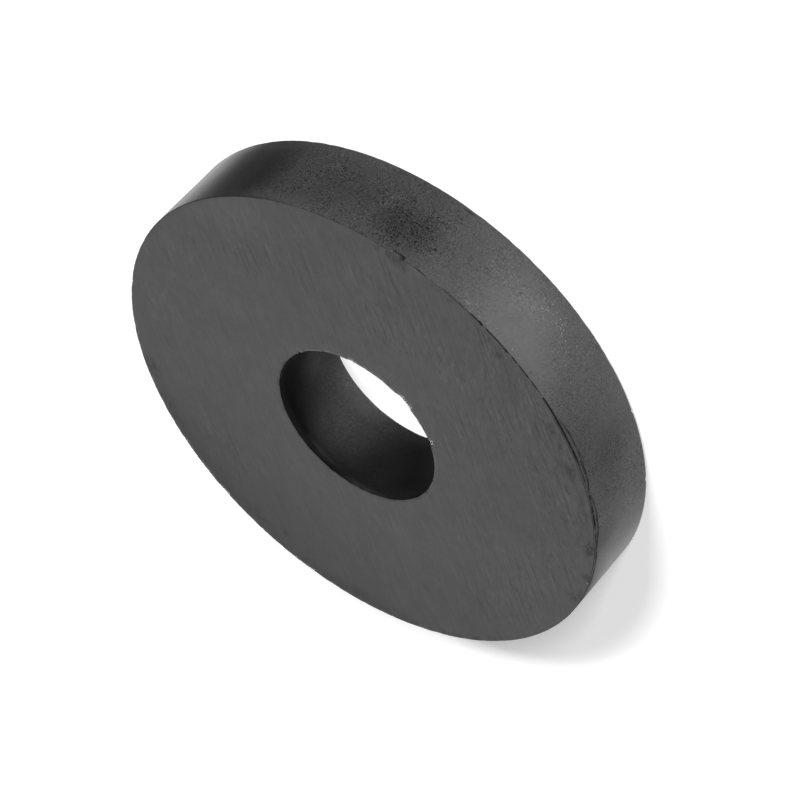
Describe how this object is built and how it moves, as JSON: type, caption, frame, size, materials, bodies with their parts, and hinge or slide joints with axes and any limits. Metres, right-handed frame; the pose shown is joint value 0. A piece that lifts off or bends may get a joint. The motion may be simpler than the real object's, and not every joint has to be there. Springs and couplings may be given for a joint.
{
  "type": "ring magnet",
  "caption": "Flat round ring magnet of dark grey hard ferrite with a plain central bore, ground faces and a chipped edge.",
  "frame": {"origin": "on the ring's axis, in the plane of the lower face that it rests on", "axes": "+Z along the bore's axis, up from the lower face to the ground upper face; the long flakes off the upper edge lie towards -Y and -X"},
  "size_m": [0.06, 0.06, 0.01],
  "materials": {
    "ferrite": "dark grey sintered hard ferrite, matt and faintly grainy on the rim and in the bore, fine-ground with a dull sheen on the faces"
  },
  "bodies": {
    "root": {"ring_magnet": "ferrite"}
  },
  "joints": []
}
